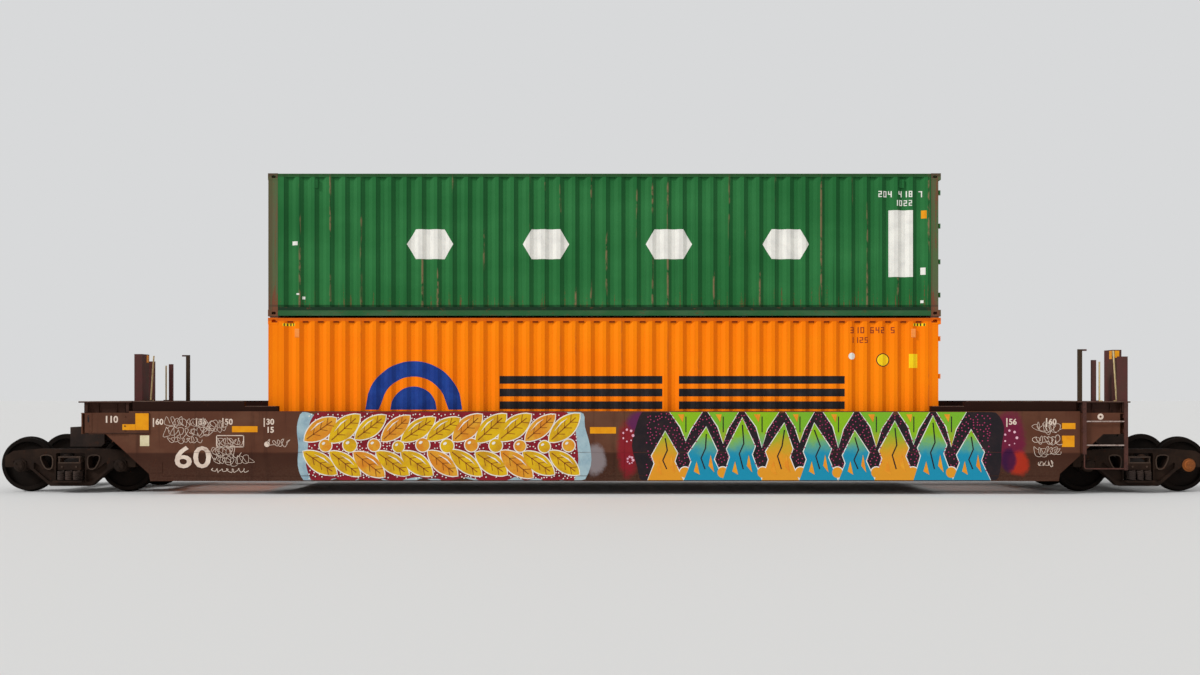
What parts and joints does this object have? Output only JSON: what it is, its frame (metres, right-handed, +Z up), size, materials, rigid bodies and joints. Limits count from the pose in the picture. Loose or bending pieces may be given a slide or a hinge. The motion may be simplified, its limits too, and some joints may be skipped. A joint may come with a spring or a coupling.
{
  "type": "articulated double-stack well car unit with two containers",
  "caption": "Well car unit of a container train with shared trucks under its ends, a tall container in the well and a standard one locked on top.",
  "frame": {"origin": "middle of the unit on the level of the wheel flanges' lowest points", "axes": "+X along the track to the door end, +Y across the track away from the picture's side, +Z up"},
  "size_m": [22.3268, 3.09, 5.8018],
  "materials": {
    "body_brown": "faded brown paint, rusty at edges",
    "cast_connector": "rough dark casting",
    "truck_casting": "rough casting under brown dust",
    "spring_steel": "dull dark steel",
    "wheel_steel": "brown dust, bright tread",
    "axle_steel": "rusty dark steel",
    "container_orange": "semi-gloss orange paint",
    "container_green": "weathered green paint with rust",
    "container_underframe": "dark underseal",
    "container_floor": "worn floor boards",
    "lock_galvanised": "dull galvanised"
  },
  "bodies": {
    "car": {"air_reservoir": "body_brown", "box_connectors": "lock_galvanised", "connector_left_socket": "cast_connector", "connector_pin": "cast_connector", "connector_right_socket": "cast_connector", "connector_tongue": "cast_connector", "deck_left": "body_brown", "deck_right": "body_brown", "end_frame_left": "body_brown", "end_frame_right": "body_brown", "end_posts_far": "body_brown", "end_posts_near": "body_brown", "ladder_far": "body_brown", "ladder_near": "body_brown", "lower_base_frame": "container_underframe", "lower_floor": "container_floor", "lower_front_end": "container_orange", "lower_rear_frame": "container_orange", "lower_roof": "container_orange", "lower_wall_far": "container_orange", "lower_wall_near": "container_orange", "side_sill_far": "body_brown", "side_sill_near": "body_brown", "upper_base_frame": "container_underframe", "upper_floor": "container_floor", "upper_front_end": "container_green", "upper_rear_frame": "container_green", "upper_roof": "container_green", "upper_wall_far": "container_green", "upper_wall_near": "container_green", "well_floor": "body_brown"},
    "truck_left": {"truck_left_adapters": "truck_casting", "truck_left_bolster": "truck_casting", "truck_left_brake_beams": "truck_casting", "truck_left_side_frames": "truck_casting", "truck_left_springs": "spring_steel"},
    "truck_right": {"truck_right_adapters": "truck_casting", "truck_right_bolster": "truck_casting", "truck_right_brake_beams": "truck_casting", "truck_right_side_frames": "truck_casting", "truck_right_springs": "spring_steel"},
    "wheelset_1": {"wheels_1": "wheel_steel", "axle_1": "axle_steel"},
    "wheelset_2": {"wheels_2": "wheel_steel", "axle_2": "axle_steel"},
    "wheelset_3": {"wheels_3": "wheel_steel", "axle_3": "axle_steel"},
    "wheelset_4": {"wheels_4": "wheel_steel", "axle_4": "axle_steel"},
    "lower_door_near": {"lower_door_near": "container_orange"},
    "lower_door_far": {"lower_door_far": "container_orange"},
    "upper_door_near": {"upper_door_near": "container_green"},
    "upper_door_far": {"upper_door_far": "container_green"}
  },
  "joints": [
    {"name": "truck_left_steer", "type": "hinge", "parent": "car", "child": "truck_left", "pos_m": [-9.74, 0, 0.7], "axis": [0, 0, 1], "range_deg": [-8, 8]},
    {"name": "truck_right_steer", "type": "hinge", "parent": "car", "child": "truck_right", "pos_m": [9.74, 0, 0.7], "axis": [0, 0, 1], "range_deg": [-8, 8]},
    {"name": "wheelset_1_roll", "type": "hinge", "parent": "truck_left", "child": "wheelset_1", "pos_m": [-10.6545, 0, 0.509], "axis": [0, 1, 0], "continuous": true},
    {"name": "wheelset_2_roll", "type": "hinge", "parent": "truck_left", "child": "wheelset_2", "pos_m": [-8.8255, 0, 0.509], "axis": [0, 1, 0], "continuous": true},
    {"name": "wheelset_3_roll", "type": "hinge", "parent": "truck_right", "child": "wheelset_3", "pos_m": [8.8255, 0, 0.509], "axis": [0, 1, 0], "continuous": true},
    {"name": "wheelset_4_roll", "type": "hinge", "parent": "truck_right", "child": "wheelset_4", "pos_m": [10.6545, 0, 0.509], "axis": [0, 1, 0], "continuous": true},
    {"name": "lower_door_near_swing", "type": "hinge", "parent": "car", "child": "lower_door_near", "pos_m": [6.081, -1.19, 1], "axis": [0, 0, -1], "range_deg": [0, 90]},
    {"name": "lower_door_far_swing", "type": "hinge", "parent": "car", "child": "lower_door_far", "pos_m": [6.081, 1.19, 1], "axis": [0, 0, 1], "range_deg": [0, 90]},
    {"name": "upper_door_near_swing", "type": "hinge", "parent": "car", "child": "upper_door_near", "pos_m": [6.081, -1.19, 4], "axis": [0, 0, -1], "range_deg": [0, 245]},
    {"name": "upper_door_far_swing", "type": "hinge", "parent": "car", "child": "upper_door_far", "pos_m": [6.081, 1.19, 4], "axis": [0, 0, 1], "range_deg": [0, 245]}
  ]
}
